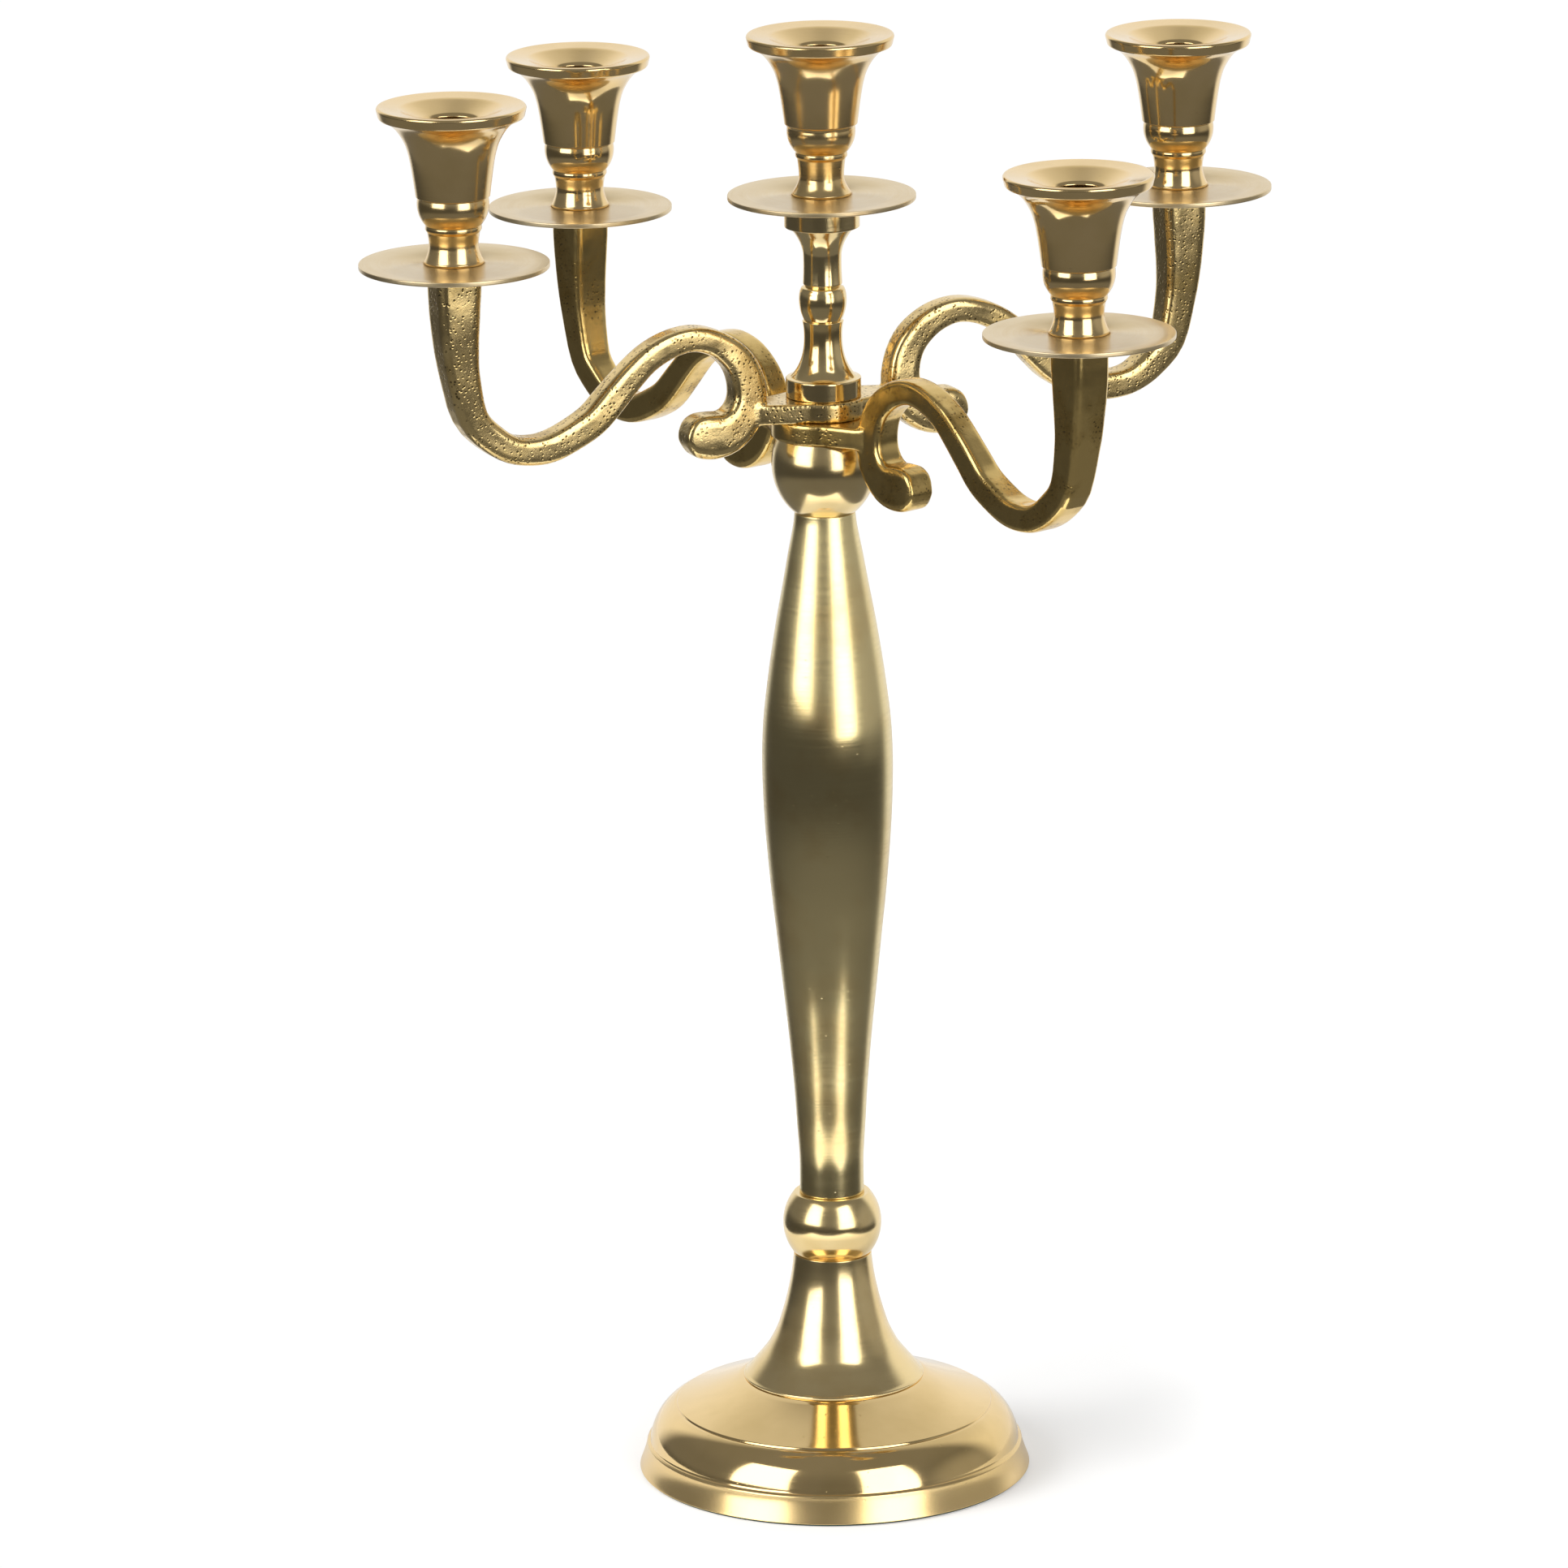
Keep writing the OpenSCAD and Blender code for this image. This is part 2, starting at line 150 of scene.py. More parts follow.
def copy_of(piece: Piece, name: str) -> Piece:
    """Copies a piece with a mesh of its own.

    Args:
        piece: the piece to copy.
        name: the name of the copy.

    Returns:
        The copy, selected and active.
    """
    make_active(piece)
    bpy.ops.object.duplicate(linked=False)
    copy = bpy.context.object
    copy.name = copy.data.name = name
    return copy


def settle(piece: Piece, turn_deg: float, place: tuple[float, float, float]) -> None:
    """Turns a piece about Z, moves it and writes its place into its mesh.

    Args:
        piece: a piece modelled at the origin.
        turn_deg: the turn about the vertical axis, counter-clockwise from above.
        place: where its origin goes, in millimetres.
    """
    make_active(piece)
    piece.rotation_euler = (0, 0, math.radians(turn_deg))
    piece.location = [v * MM for v in place]
    bpy.ops.object.transform_apply(location=True, rotation=True, scale=True)


def seat_of(azimuth: float) -> Point:
    """Gives the place of a seat from its arm's direction."""
    angle = math.radians(azimuth)
    return (REACH * math.cos(angle), REACH * math.sin(angle))


class Outline:
    """Outline of a turned piece: radius and height, from its first ring to its last."""

    def __init__(self, radius: float, height: float, ease: float = 0.0) -> None:
        """Starts at one point.

        Args:
            radius: distance from the axis.
            height: height above the piece's own zero.
            ease: how far back the corner is rounded.
        """
        self._marks: list[tuple[float, float, float]] = [(radius, height, ease)]

    def to(self, radius: float, height: float, ease: float = 0.0) -> "Outline":
        """Goes on straight to a point, whose corner is eased."""
        self._marks.append((radius, height, ease))
        return self

    def bend(
        self, pull_a: Point, pull_b: Point, end: Point, ease: float = 0.0, steps: int = 14
    ) -> "Outline":
        """Goes on along a cubic curve.

        Args:
            pull_a: the point that the curve leaves towards.
            pull_b: the point that it arrives from.
            end: where it ends.
            ease: rounding at its end.
            steps: number of rings along it.

        Returns:
            The outline itself.
        """
        start = self._marks[-1]
        for i in range(1, steps + 1):
            t = i / steps
            s = 1 - t
            a, b, c, d = s**3, 3 * s * s * t, 3 * s * t * t, t**3
            radius, height = (
                start[k] * a + pull_a[k] * b + pull_b[k] * c + end[k] * d for k in (0, 1)
            )
            self._marks.append((radius, height, ease if i == steps else 0.0))
        return self

    def through(self, points: list[Point], ease: float = 0.0, steps: int = 5) -> "Outline":
        """Goes on along a smooth line through points.

        Args:
            points: the points after the last one.
            ease: rounding at the end.
            steps: number of rings from one point to the next.

        Returns:
            The outline itself.
        """
        line = [self._marks[-1][:2], *points]
        line = [line[0], *line, line[-1]]
        for i in range(1, len(line) - 2):
            a, b, c, d = line[i - 1 : i + 3]
            for k in range(1, steps + 1):
                radius, height = (spline_value(a[n], b[n], c[n], d[n], k / steps) for n in (0, 1))
                self._marks.append((radius, height, 0.0))
        radius, height, _ = self._marks[-1]
        self._marks[-1] = (radius, height, ease)
        return self

    def ball(self, middle: float, radius: float, tall: float, low: float, high: float) -> "Outline":
        """Goes on round a ball or an egg, from one height to another.

        Args:
            middle: height of its widest ring.
            radius: its greatest radius.
            tall: its half height.
            low: height where the surface starts.
            high: height where it ends.

        Returns:
            The outline itself.
        """
        first = math.asin((low - middle) / tall)
        last = math.asin((high - middle) / tall)
        steps = 30
        for i in range(steps + 1):
            angle = first + (last - first) * i / steps
            ease = 0.35 if i in (0, steps) else 0.0
            self._marks.append((radius * math.cos(angle), middle + tall * math.sin(angle), ease))
        return self

    def rings(self) -> list[Point]:
        """Gives every ring, with the corners rounded.

        Returns:
            Radius and height of each ring, in order.
        """
        marks = self._marks
        result: list[Point] = [marks[0][:2]]
        for before, here, after in zip(marks, marks[1:], marks[2:]):
            if here[2] <= 0:
                result.append(here[:2])
                continue
            back = math.dist(before[:2], here[:2])
            on = math.dist(here[:2], after[:2])
            cut = min(here[2], 0.45 * back, 0.45 * on)
            start = [here[k] + (before[k] - here[k]) * cut / back for k in (0, 1)]
            end = [here[k] + (after[k] - here[k]) * cut / on for k in (0, 1)]
            if back > 3 * cut:
                share = 1.7 * cut / back
                result.append(tuple(here[k] + (before[k] - here[k]) * share for k in (0, 1)))
            for i in range(6):
                t = i / 5
                s = 1 - t
                a, b, c = s * s, 2 * s * t, t * t
                result.append(tuple(start[k] * a + here[k] * b + end[k] * c for k in (0, 1)))
            if on > 3 * cut:
                share = 1.7 * cut / on
                result.append(tuple(here[k] + (after[k] - here[k]) * share for k in (0, 1)))
        result.append(marks[-1][:2])
        return result


def spline_value(a: float, b: float, c: float, d: float, t: float) -> float:
    """Gives the value between b and c of a smooth line through four values."""
    return 0.5 * (
        2 * b + (c - a) * t + (2 * a - 5 * b + 4 * c - d) * t * t + (3 * b - 3 * c + d - a) * t**3
    )


def turned(name: str, outline: Outline, base: float = 0.0) -> Piece:
    """Turns an outline round the vertical axis, as on a lathe.

    Args:
        name: the name of the piece.
        outline: its outline, closed on itself for a pierced piece or ending on the axis.
        base: height of the outline's zero.

    Returns:
        The piece.
    """
    rings = outline.rings()
    start_clean()
    bpy.ops.mesh.primitive_plane_add(size=MM, location=(0, 0, 0))
    piece = bpy.context.object
    piece.name = piece.data.name = name
    bpy.ops.object.mode_set(mode="EDIT")
    bpy.ops.mesh.select_all(action="SELECT")
    bpy.ops.mesh.merge(type="CENTER")
    radius, height = rings[0]
    bpy.ops.transform.translate(value=(radius * MM, 0, (height + base) * MM))
    for (r0, z0), (r1, z1) in zip(rings, rings[1:]):
        bpy.ops.mesh.extrude_region_move(
            TRANSFORM_OT_translate={"value": ((r1 - r0) * MM, 0, (z1 - z0) * MM)}
        )
    bpy.ops.mesh.select_all(action="SELECT")
    bpy.ops.mesh.spin(steps=TURNING_STEPS, angle=math.tau, center=(0, 0, 0), axis=(0, 0, 1))
    bpy.ops.mesh.select_all(action="SELECT")
    bpy.ops.mesh.remove_doubles(threshold=0.002 * MM)
    bpy.ops.mesh.normals_make_consistent(inside=False)
    bpy.ops.object.mode_set(mode="OBJECT")
    bpy.ops.object.shade_smooth()
    return piece


# ---- Finishes ----


class Slot(Enum):
    """The record's material slot names for turned and cast brass; no piece here is given them."""

    TURNED = "polished_brass"
    CAST = "cast_brass"


def new_material(name: str) -> tuple[Material, Tree]:
    """Makes an empty node material.

    Args:
        name: the name of the material.

    Returns:
        The material and its node tree.
    """
    material = bpy.data.materials.new(name)
    material.use_nodes = True
    material.node_tree.nodes.clear()
    return material, material.node_tree


@dataclass(frozen=True)
class TurnedBrass:
    """Cast brass, turned and buffed on a lathe, then lacquered.

    It is a mirror with faint rings left by the tool, which draw each lamp out into a strip
    along the axis, and it has a few soft stains and pits.
    """

    colour: str = "#F8DEA3"
    stain: str = "#E6C684"
    roughness: float = 0.17
    drawn_out: float = 0.5
    # A tool leaves rings about 0.1 mm apart. They are drawn 0.8 mm apart to show.
    ring_mm: float = 0.8
    ring_depth: float = 0.03
    stain_mm: float = 30.0
    pit_mm: float = 5.0
    pit_depth: float = 0.25
    lacquer: float = 0.2
    # Below this height the metal is only brushed.
    brushed_below_mm: float = -1.0
    brushed_roughness: float = 0.22

    def material(self, name: str, axis: Point = (0.0, 0.0)) -> Material:
        """Makes the material for a piece turned about a vertical axis.

        Args:
            name: the name of the material.
            axis: where the axis stands.

        Returns:
            The material.
        """
        material, tree = new_material(name)
        place = add_node(tree, "TexCoord")
        centred = add_node(
            tree, "Mapping", values={"Location": (-axis[0] * MM, -axis[1] * MM, 0)},
            links={"Vector": place.outputs["Object"]}
        ).outputs["Vector"]
        flat = add_node(
            tree, "VectorMath", operation="MULTIPLY", values={1: (1, 1, 0)}, links={0: centred}
        )
        radius = add_node(tree, "VectorMath", operation="LENGTH", links={0: flat})
        split = add_node(tree, "SeparateXYZ", links={0: centred})
        rings = add_node(
            tree, "CombineXYZ", links={"X": radius.outputs["Value"], "Y": split.outputs["Z"]}
        )
        # The rings wander a little round the piece, so they are stretched, not perfect.
        wander = add_node(
            tree, "VectorMath", operation="MULTIPLY_ADD", values={1: (0.02, 0.02, 0.0)},
            links={0: centred, 2: rings}
        )
        lines = add_node(
            tree, "TexNoise",
            values={"Scale": per_metre(self.ring_mm), "Detail": 2.0, "Roughness": 0.5},
            links={"Vector": wander}
        )
        stains = add_node(
            tree, "TexNoise",
            values={"Scale": per_metre(self.stain_mm), "Detail": 4.0, "Roughness": 0.55},
            links={"Vector": centred}
        )
        stained = add_node(
            tree, "MapRange", values={"From Min": 0.45, "From Max": 0.8},
            links={"Value": stains.outputs["Fac"]}
        )
        shade = add_node(
            tree, "Mix", data_type="RGBA", values={6: linear(self.colour), 7: linear(self.stain)},
            links={0: stained}
        )
        dull = add_node(
            tree, "MapRange",
            values={
                "From Min": 0.3, "From Max": 0.75, "To Min": self.roughness * 0.9,
                "To Max": self.roughness * 1.2,
            },
            links={"Value": lines.outputs["Fac"]}
        )
        height = add_node(tree, "SeparateXYZ", links={0: place.outputs["Object"]}).outputs["Z"]
        dull = add_node(
            tree, "MapRange",
            values={
                "From Min": self.brushed_below_mm * MM,
                "From Max": (self.brushed_below_mm + 0.4) * MM, "To Min": self.brushed_roughness,
            },
            links={"Value": height, "To Max": dull}
        )
        pits = add_node(
            tree, "TexVoronoi", values={"Scale": per_metre(self.pit_mm)},
            links={"Vector": centred}
        )
        hollow = add_node(
            tree, "MapRange", values={"From Min": 0.03, "From Max": 0.09},
            links={"Value": pits.outputs["Distance"]}
        )
        ringed = add_node(
            tree, "Bump", values={"Strength": self.ring_depth, "Distance": 0.1 * MM},
            links={"Height": lines.outputs["Fac"]}
        )
        surface = add_node(
            tree, "Bump", values={"Strength": self.pit_depth, "Distance": 0.08 * MM},
            links={"Height": hollow, "Normal": ringed}
        )
        along = add_node(tree, "Tangent", direction_type="RADIAL", axis="Z")
        shader = add_node(
            tree, "BsdfPrincipled",
            values={
                "Metallic": 1.0, "Anisotropic": self.drawn_out, "Coat Weight": self.lacquer,
                "Coat Roughness": 0.1,
            },
            links={
                "Base Color": shade.outputs[2], "Roughness": dull,
                "Normal": surface, "Tangent": along,
            }
        )
        add_node(tree, "OutputMaterial", links={"Surface": shader.outputs["BSDF"]})
        return material


@dataclass(frozen=True)
class CastBrass:
    """Sand-cast brass, ground and buffed but not turned.

    It has a satin sheen, small pits from the sand and darker patches where the wheel
    didn't reach.
    """

    colour: str = "#EFD292"
    patch: str = "#B39657"
    roughness: float = 0.2
    patch_mm: float = 16.0
    # Sand grain is about 0.3 mm. It is drawn at 0.9 mm to show.
    grain_mm: float = 0.9
    grain_depth: float = 0.10
    # Pits lie in clusters, where the patch noise is above this level.
    pits_from: float = 0.38
    pit_mm: float = 1.7
    pit_depth: float = 0.45
    pit_colour: str = "#75633A"
    wheel_mm: float = 7.0

    def material(self, name: str) -> Material:
        """Makes the material.

        Args:
            name: the name of the material.

        Returns:
            The material.
        """
        material, tree = new_material(name)
        place = add_node(tree, "TexCoord").outputs["Object"]
        patches = add_node(
            tree, "TexNoise",
            values={"Scale": per_metre(self.patch_mm), "Detail": 5.0, "Roughness": 0.6},
            links={"Vector": place}
        )
        grain = add_node(
            tree, "TexNoise", values={"Scale": per_metre(self.grain_mm), "Detail": 2.0},
            links={"Vector": place}
        )
        wheel = add_node(
            tree, "TexNoise", values={"Scale": per_metre(self.wheel_mm), "Detail": 1.0},
            links={"Vector": place}
        )
        pits = add_node(
            tree, "TexVoronoi", values={"Scale": per_metre(self.pit_mm)}, links={"Vector": place}
        )
        hollow = add_node(
            tree, "MapRange", values={"From Min": 0.16, "From Max": 0.36},
            links={"Value": pits.outputs["Distance"]}
        )
        unpitted = add_node(
            tree, "MapRange",
            values={"From Min": self.pits_from + 0.12, "From Max": self.pits_from},
            links={"Value": patches.outputs["Fac"]}
        )
        hollow = add_node(
            tree, "Math", operation="MAXIMUM",
            links={0: hollow, 1: unpitted}
        )
        patched = add_node(
            tree, "MapRange", values={"From Min": 0.48, "From Max": 0.78},
            links={"Value": patches.outputs["Fac"]}
        )
        shade = add_node(
            tree, "Mix", data_type="RGBA", values={6: linear(self.colour), 7: linear(self.patch)},
            links={0: patched}
        )
        pitted = add_node(
            tree, "Mix", data_type="RGBA", values={6: linear(self.pit_colour)},
            links={0: hollow, 7: shade.outputs[2]}
        )
        dull = add_node(
            tree, "MapRange",
            values={
                "From Min": 0.3, "From Max": 0.7, "To Min": self.roughness * 0.7,
                "To Max": self.roughness * 1.35,
            },
            links={"Value": patches.outputs["Fac"]}
        )
        waves = add_node(
            tree, "Bump", values={"Strength": 0.1, "Distance": 0.5 * MM},
            links={"Height": wheel.outputs["Fac"]}
        )
        grained = add_node(
            tree, "Bump", values={"Strength": self.grain_depth, "Distance": 0.15 * MM},
            links={"Height": grain.outputs["Fac"], "Normal": waves}
        )
        surface = add_node(
            tree, "Bump", values={"Strength": self.pit_depth, "Distance": 0.15 * MM},
            links={"Height": hollow, "Normal": grained}
        )
        shader = add_node(
            tree, "BsdfPrincipled", values={"Metallic": 1.0},
            links={
                "Base Color": pitted.outputs[2], "Roughness": dull,
                "Normal": surface,
            }
        )
        add_node(tree, "OutputMaterial", links={"Surface": shader.outputs["BSDF"]})
        return material


@dataclass(frozen=True)
class ZincSteel:
    """Zinc-plated steel with a rolled thread: grey, softly shining, ribbed along its axis."""

    colour: str = "#AEB2B6"
    dull_colour: str = "#8C9095"
    roughness: float = 0.34
    pitch_mm: float = 1.25
    thread_depth: float = 0.8
    speckle_mm: float = 2.0

    def material(self, name: str, threaded: bool) -> Material:
        """Makes the material.

        Args:
            name: the name of the material.
            threaded: whether the piece has a thread along Z.

        Returns:
            The material.
        """
        material, tree = new_material(name)
        place = add_node(tree, "TexCoord").outputs["Object"]
        speckle = add_node(
            tree, "TexNoise", values={"Scale": per_metre(self.speckle_mm), "Detail": 4.0},
            links={"Vector": place}
        )
        # A wave repeats 20 times per 2 pi units, so its scale is set for one rib a pitch.
        ribs = add_node(
            tree, "TexWave", wave_type="BANDS", bands_direction="Z",
            values={"Scale": per_metre(self.pitch_mm) * math.tau / 20}, links={"Vector": place}
        )
        shade = add_node(
            tree, "Mix", data_type="RGBA",
            values={6: linear(self.dull_colour), 7: linear(self.colour)},
            links={0: speckle.outputs["Fac"]}
        )
        surface = add_node(
            tree, "Bump",
            values={
                "Strength": self.thread_depth if threaded else 0.2,
                "Distance": 0.5 * MM if threaded else 0.05 * MM,
            },
            links={"Height": (ribs if threaded else speckle).outputs["Fac"]}
        )
        shader = add_node(
            tree, "BsdfPrincipled", values={"Metallic": 1.0, "Roughness": self.roughness},
            links={"Base Color": shade.outputs[2], "Normal": surface}
        )
        add_node(tree, "OutputMaterial", links={"Surface": shader.outputs["BSDF"]})
        return material


@dataclass(frozen=True)
class WoolFelt:
    """Pressed wool felt: dark green, matt, with a faint nap of loose fibres."""

    colour: str = "#26382D"
    fleck: str = "#3B5144"
    fibre_mm: float = 0.6

    def material(self, name: str) -> Material:
        """Makes the material.

        Args:
            name: the name of the material.

        Returns:
            The material.
        """
        material, tree = new_material(name)
        place = add_node(tree, "TexCoord").outputs["Object"]
        nap = add_node(
            tree, "TexNoise",
            values={"Scale": per_metre(self.fibre_mm), "Detail": 6.0, "Distortion": 1.5},
            links={"Vector": place}
        )
        shade = add_node(
            tree, "Mix", data_type="RGBA", values={6: linear(self.colour), 7: linear(self.fleck)},
            links={0: nap.outputs["Fac"]}
        )
        surface = add_node(
            tree, "Bump", values={"Strength": 0.6, "Distance": 0.2 * MM},
            links={"Height": nap.outputs["Fac"]}
        )
        shader = add_node(
            tree, "BsdfPrincipled",
            values={"Roughness": 0.95, "Sheen Weight": 0.4, "Sheen Roughness": 0.5},
            links={"Base Color": shade.outputs[2], "Normal": surface}
        )
        add_node(tree, "OutputMaterial", links={"Surface": shader.outputs["BSDF"]})
        return material


def dress(piece: Piece, material: Material) -> None:
    """Gives a piece one material in place of any it has."""
    piece.data.materials.clear()
    piece.data.materials.append(material)


def stand_for(
    piece: Piece, node: str, body: str, material: Material
) -> None:
    """Dresses a finished piece, lets it ride on its body and hides the node it stands for.

    Args:
        piece: the finished piece.
        node: the frame's node that it replaces.
        body: the body that it rides on.
        material: what it is made of.
    """
    dress(piece, material)
    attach(piece, body)
    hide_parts(node)
    log.info("%s rides on %s, %d faces", piece.name, body, len(piece.data.polygons))


# ---- Sub-assemblies ----


@dataclass
class Stem:
    """Foot, neck, two knobs and the shaft, all turned, on a hidden tie rod."""

    rod_hole: float = 4.4
    felt: float = 0.8
    foot_top: float = 39.2
    neck_top: float = 92.0
    lower_knob_top: float = 117.9
    shaft_top: float = 404.5
    polish: TurnedBrass = field(default_factory=lambda: TurnedBrass(roughness=0.16, drawn_out=0.65))
    foot_polish: TurnedBrass = field(
        default_factory=lambda: TurnedBrass(
            colour="#F8D899",
            roughness=0.09,
            drawn_out=0.4,
            stain_mm=45,
            brushed_below_mm=12.0,
        )
    )
    brushed: TurnedBrass = field(
        default_factory=lambda: TurnedBrass(
            colour="#F6E1A5", roughness=0.18, drawn_out=0.95
        )
    )

    def foot_outline(self) -> Outline:
        """Gives the foot's outline: up inside the shell, then over the band, shoulder and dome."""
        hole, top = self.rod_hole, self.foot_top
        line = Outline(hole, top).to(hole, 29.2, 0.3).to(20, 29.2, 0.6).to(20, 34.6, 0.8)
        line.bend((34, 34.8), (52, 29.6), (61, 24.4)).bend((67, 20.5), (71.4, 16), (72.9, 9), 1.0)
        line.to(72.9, self.felt, 0.3).to(80.4, self.felt, 0.4)
        line.bend((79.7, 3.0), (77.8, 7.0), (77.3, 11.2), 0.5)
        line.to(76.5, 12.0, 0.2).to(76.1, 12.1, 0.15).to(75.9, 12.7, 0.2)
        line.bend((75.0, 18.4), (71.6, 24.4), (65.9, 27.0), 0.3)
        line.to(64.9, 27.2, 0.12).to(64.7, 28.0, 0.35)
        line.bend((59.0, 29.95), (48.5, 33.9), (37.6, 39.1)).to(36, top)
        return line.to(hole, top)

    def neck_outline(self) -> Outline:
        """Gives the neck's outline: a trumpet with a thin lip at its foot."""
        hole, low, top = self.rod_hole, self.foot_top, self.neck_top
        line = Outline(hole, top).to(hole, 84).to(12.4, 84, 0.6)
        line.bend((12.9, 70), (17, 56), (27, 45)).to(33, low, 0.3)
        line.to(37, low, 0.25).to(37, 40.2, 0.35).to(36.0, 40.9)
        line.through(
            [(33.4, 43.9), (30.2, 47.7), (27.5, 51.2), (25.6, 54.4), (22.9, 60.0), (21.1, 65.6)]
            + [(19.5, 71.2), (18.2, 76.8), (17.1, 82.4), (16.35, 88.0), (16.0, top)],
            0.3,
        )
        return line.to(hole, top)

    def lower_knob_outline(self) -> Outline:
        """Gives the lower knob's outline: a ball between two flats."""
        hole, low, top = self.rod_hole, self.neck_top, self.lower_knob_top
        return Outline(hole, top).to(hole, low).ball(104.9, 20.2, 20.2, low, top).to(hole, top)

    def shaft_outline(self) -> Outline:
        """Gives the shaft's outline: slim at both ends, widest at two thirds of its height."""
        hole, low, top = self.rod_hole, self.lower_knob_top, self.shaft_top
        line = Outline(hole, top).to(hole, 390.5).to(8.9, 390.5, 0.6)
        line.bend((17, 360), (22.6, 340), (22.6, 301), steps=20)
        line.bend((22.6, 240), (9.2, 190), (9.2, 132), 0.6, steps=20)
        line.to(hole, 132).to(hole, low).to(13.2, low, 0.35)
        line.through(
            [(13.1, 126.0), (13.2, 134.0), (14.1, 148.0), (14.95, 161.9), (16.1, 175.7)]
            + [(17.4, 189.5), (18.9, 203.4), (20.35, 217.1), (21.8, 230.9), (23.3, 244.6)]
            + [(24.55, 258.4)]
            + [(25.6, 272.1), (26.3, 285.7), (26.6, 299.4), (26.4, 309.0), (25.75, 319.8)]
            + [(24.15, 333.4), (22.2, 346.9), (20.0, 360.5), (17.5, 374.0), (15.1, 387.5)]
            + [(13.0, 398.5), (12.3, top)],
            0.25,
            steps=4,
        )
        return line.to(hole, top)

    def upper_knob_outline(self) -> Outline:
        """Gives the upper knob's outline: an egg that is widest above its middle."""
        hole, low, top = self.rod_hole, self.shaft_top, UPPER_KNOB_TOP
        return Outline(hole, top).to(hole, low).ball(425.0, 21.4, 24.9, low, top).to(hole, top)

    def build(self) -> None:
        """Turns the five pieces and dresses the hidden steel and the felt."""
        polished = self.polish.material("turned_brass_stem")
        brushed = self.brushed.material("brushed_brass_stem")
        outlines = {
            "foot": (self.foot_outline(), self.foot_polish.material("turned_brass_foot")),
            "neck": (self.neck_outline(), polished),
            "lower_knob": (self.lower_knob_outline(), polished),
            "shaft": (self.shaft_outline(), brushed),
            "upper_knob": (self.upper_knob_outline(), polished),
        }
        for node, (outline, material) in outlines.items():
            stand_for(turned("turned_" + node, outline), node, "stem", material)
        steel = ZincSteel()
        dress(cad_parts["tie_rod"], steel.material("threaded_rod", True))
        for node in ("foot_nut", "foot_washer"):
            dress(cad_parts[node], steel.material("plated_" + node, False))
        dress(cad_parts["felt_ring"], WoolFelt().material("pressed_felt"))


@dataclass
class Spindle:
    """The turned piece that stands on the castings and carries the middle light."""

    base: float = 452.5
    top: float = 80.5
    polish: TurnedBrass = field(default_factory=lambda: TurnedBrass(roughness=0.13))

    def outline(self) -> Outline:
        """Gives its outline: disc, waist, bead, waist, disc."""
        line = Outline(0, 16).to(4, 16).to(4, 0, 0.3).to(15.2, 0, 0.4).to(15.2, 7.6, 0.5)
        line.to(13.4, 7.9, 0.3)
        line.bend((10.6, 10.4), (8.2, 15.4), (7.8, 21.5))
        line.bend((7.6, 25), (7.75, 27.5), (8.1, 29.4), 0.2)
        line.to(8.35, 30.7, 0.2).to(7.7, 31.1, 0.1)
        line.to(8.1, 32.0)
        line.bend((9.2, 34.6), (9.8, 37.4), (9.6, 40.6))
        line.bend((9.5, 42.4), (9.1, 43.6), (8.6, 44.4), 0.2)
        line.to(7.3, 45.2, 0.15).to(7.95, 46.0, 0.25)
        line.bend((7.7, 50), (7.6, 55), (7.8, 58.4)).bend((8.2, 61.6), (9.6, 64.4), (11.6, 67.2))
        line.to(12.8, 69.0, 0.2).to(15.2, 69.3, 0.4).to(15.2, self.top, 0.4)
        return line.to(4, self.top).to(4, 71).to(0, 71)

    def build(self) -> None:
        """Turns the spindle."""
        stand_for(
            turned("turned_spindle", self.outline(), self.base),
            "spindle",
            "stem",
            self.polish.material("turned_brass_spindle"),
        )


